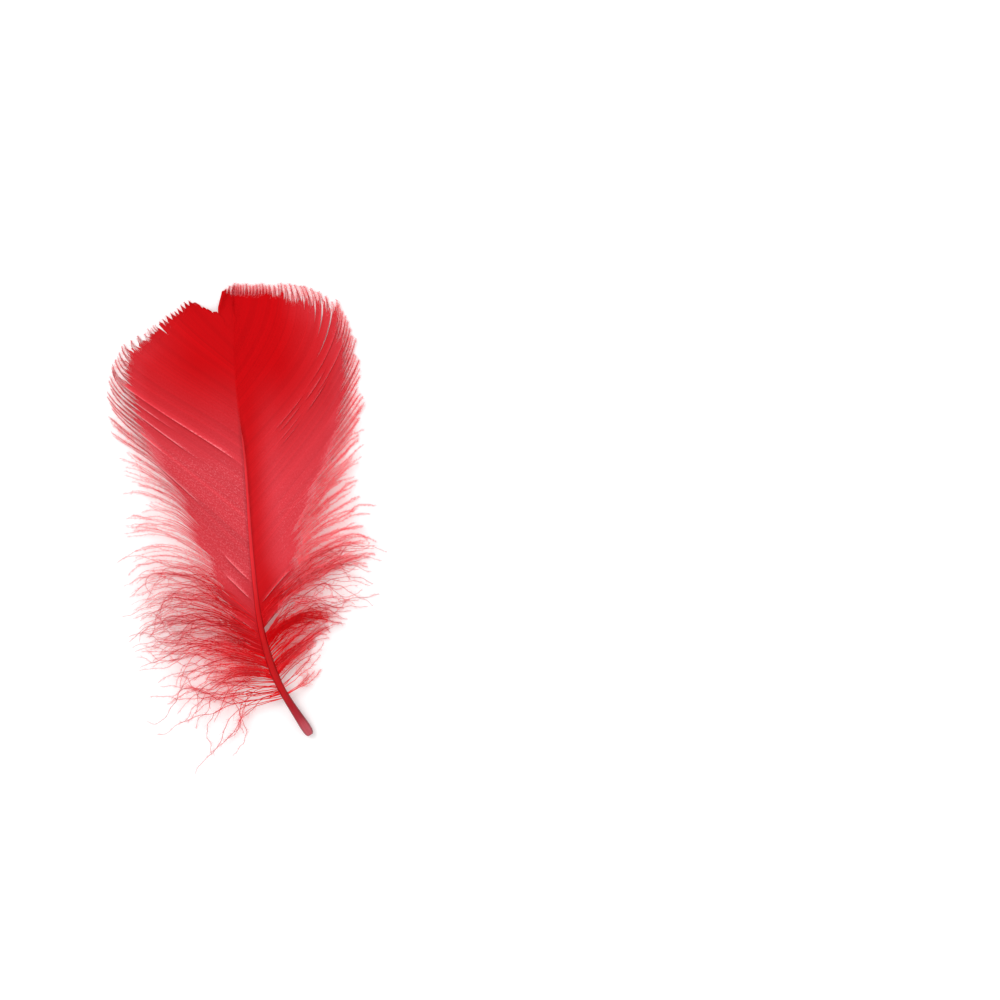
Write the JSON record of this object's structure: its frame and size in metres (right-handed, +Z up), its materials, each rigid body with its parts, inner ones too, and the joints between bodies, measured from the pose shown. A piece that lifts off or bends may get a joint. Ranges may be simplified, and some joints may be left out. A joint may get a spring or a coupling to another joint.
{
  "type": "goose quill feather",
  "caption": "Small dyed goose feather with a bare curved quill, two rounded webbed vanes and loose down at its base, lying dome side up on a surface.",
  "frame": {"origin": "on the surface that the feather lies on, under the middle of its bounding box", "axes": "+Y along the feather from the quill to the tip, +Z up from the surface to the domed outer side, +X to the right when seen from above with the tip away"},
  "size_m": [0.061, 0.1031, 0.0066],
  "materials": {
    "quill": "smooth dyed horn of a feather shaft, a little translucent at the bare quill",
    "web": "dyed webbed barbs with a soft sheen",
    "down": "dyed loose downy barbs"
  },
  "bodies": {
    "root": {"shaft": "quill", "left_vane": "web", "right_vane": "web", "left_down": "down", "right_down": "down"}
  },
  "joints": []
}
